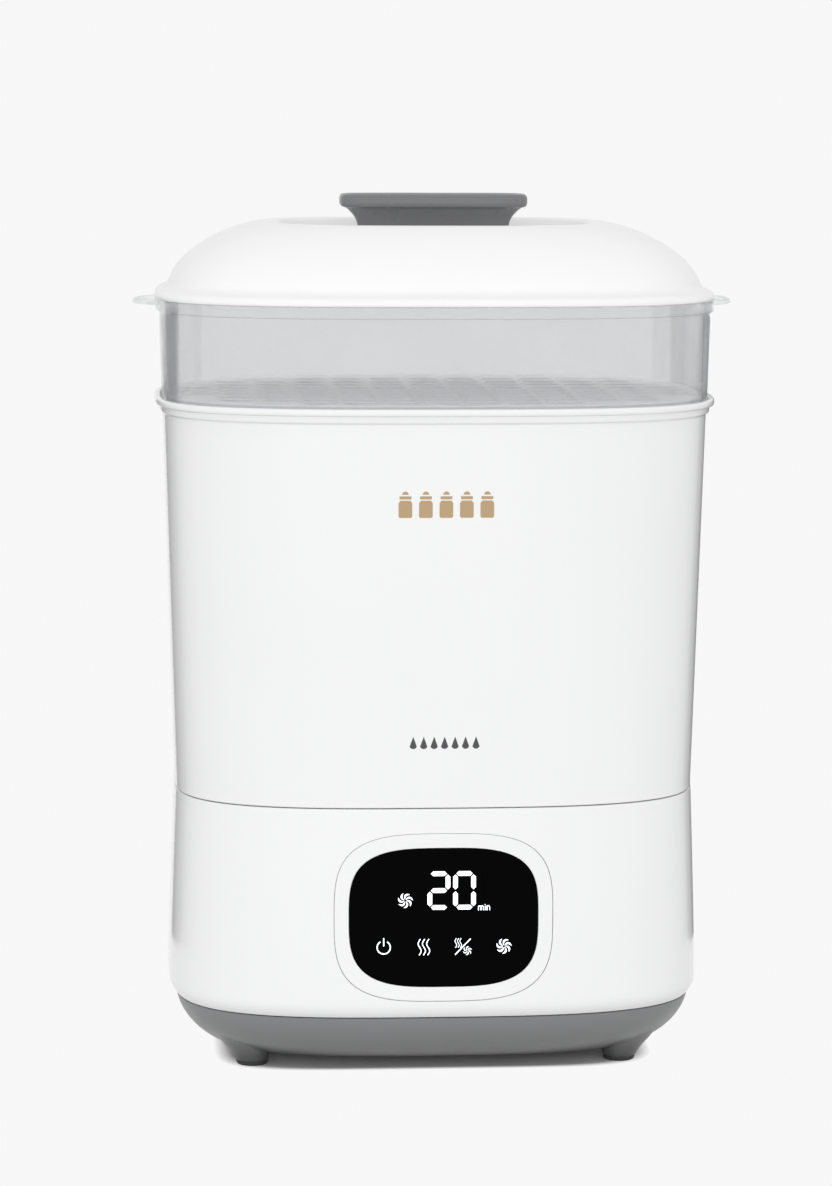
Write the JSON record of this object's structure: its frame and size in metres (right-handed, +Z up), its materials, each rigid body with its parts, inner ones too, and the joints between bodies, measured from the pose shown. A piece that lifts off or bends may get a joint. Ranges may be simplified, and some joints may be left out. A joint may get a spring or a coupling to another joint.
{
  "type": "bottle sterilizer",
  "caption": "Countertop steam sterilizer and dryer for feeding bottles: oval base with touch panel, deep bottle basket, clear accessory tray and domed lid with a recessed grip.",
  "frame": {"origin": "on the table under the centre of the body, at the bottom of the rubber feet", "axes": "+X to the user's right, -Y is the front with the control panel, +Z up"},
  "size_m": [0.2888, 0.189, 0.415],
  "materials": {
    "white_gloss": "gloss moulded white plastic",
    "white_satin": "satin moulded white plastic",
    "smoke_clear": "see-through smoke grey plastic",
    "grey_satin": "satin moulded grey plastic",
    "white_inner": "matt moulded white plastic",
    "panel_black": "polished black panel",
    "dark_rubber": "soft matt rubber",
    "stainless": "polished stainless steel",
    "zinc_steel": "zinc plated steel",
    "circuit_green": "glass fibre board with solder mask",
    "black_plastic": "matt black plastic",
    "heater_ceramic": "ceramic heater with aluminium fins",
    "filter_foam": "open-cell filter foam"
  },
  "bodies": {
    "base": {"base_housing": "white_gloss", "base_deck": "white_inner", "base_pan": "grey_satin", "rubber_feet": "dark_rubber", "base_screws": "zinc_steel", "panel_bezel": "white_gloss", "panel_glass": "panel_black", "display_board": "circuit_green", "touch_springs": "zinc_steel", "power_board": "circuit_green", "board_parts": "black_plastic", "heating_plate": "stainless", "plate_seal": "dark_rubber", "heating_element": "stainless", "thermostat": "zinc_steel", "thermal_fuse": "zinc_steel", "air_duct": "white_inner", "fan_motor": "zinc_steel", "air_heater": "heater_ceramic", "outlet_cap": "white_inner", "power_inlet": "black_plastic"},
    "fan": {"fan_impeller": "black_plastic", "motor_shaft": "stainless"},
    "filter": {"filter_cover": "white_gloss", "air_filter": "filter_foam"},
    "basket": {"basket_shell": "white_gloss"},
    "rack": {"bottle_rack": "white_inner", "rack_fins": "white_inner"},
    "tray": {"accessory_tray": "smoke_clear"},
    "lid": {"lid_dome": "white_satin", "lid_handle": "grey_satin", "handle_screws": "zinc_steel"}
  },
  "joints": [
    {"name": "basket_lift", "type": "slide", "parent": "base", "child": "basket", "axis": [0, 0, 1], "range_m": [0, 0.08]},
    {"name": "rack_lift", "type": "slide", "parent": "basket", "child": "rack", "axis": [0, 0, 1], "range_m": [0, 0.1]},
    {"name": "tray_lift", "type": "slide", "parent": "basket", "child": "tray", "axis": [0, 0, 1], "range_m": [0, 0.06]},
    {"name": "lid_lift", "type": "slide", "parent": "tray", "child": "lid", "axis": [0, 0, 1], "range_m": [0, 0.08]},
    {"name": "filter_pull", "type": "slide", "parent": "base", "child": "filter", "axis": [0, 1, 0], "range_m": [0, 0.03]},
    {"name": "fan_spin", "type": "hinge", "parent": "base", "child": "fan", "pos_m": [0.072, 0, 0.074], "axis": [0, 0, 1], "continuous": true}
  ]
}
